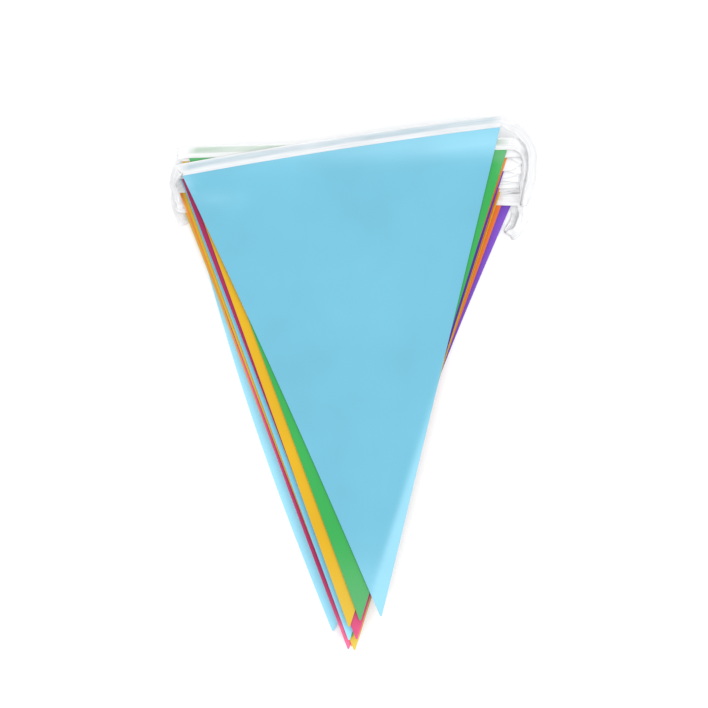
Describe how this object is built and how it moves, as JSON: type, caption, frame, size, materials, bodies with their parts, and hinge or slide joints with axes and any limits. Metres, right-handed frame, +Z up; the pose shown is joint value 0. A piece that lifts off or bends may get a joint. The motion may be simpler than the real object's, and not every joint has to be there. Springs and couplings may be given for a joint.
{
  "type": "flag bunting",
  "caption": "String of plain coloured film pennants on a clear header tape, folded back and forth flag upon flag into a flat pack with loops of tape at its sides.",
  "frame": {"origin": "middle of the pack's box, on the surface that its lowest flag lies on", "axes": "+X to the right across the pack, +Y from the flags' points up to the header tape, +Z up from the surface through the stack of flags"},
  "size_m": [0.229, 0.3336, 0.0297],
  "materials": {
    "film_blue": "satin translucent polyethylene film",
    "film_green": "satin translucent polyethylene film",
    "film_yellow": "satin translucent polyethylene film",
    "film_pink": "satin translucent polyethylene film",
    "film_orange": "satin translucent polyethylene film",
    "film_purple": "satin translucent polyethylene film",
    "film_clear": "glossy milky clear polyethylene film"
  },
  "bodies": {
    "root": {"flag_01": "film_blue", "flag_02": "film_green", "flag_03": "film_yellow", "flag_04": "film_pink", "flag_05": "film_orange", "flag_06": "film_purple", "flag_07": "film_blue", "flag_08": "film_green", "flag_09": "film_yellow", "flag_10": "film_pink", "flag_11": "film_orange", "flag_12": "film_purple", "flag_13": "film_blue", "flag_14": "film_green", "flag_15": "film_yellow", "flag_16": "film_pink", "flag_17": "film_orange", "flag_18": "film_purple", "flag_19": "film_blue", "flag_20": "film_green", "header_tape": "film_clear"}
  },
  "joints": []
}
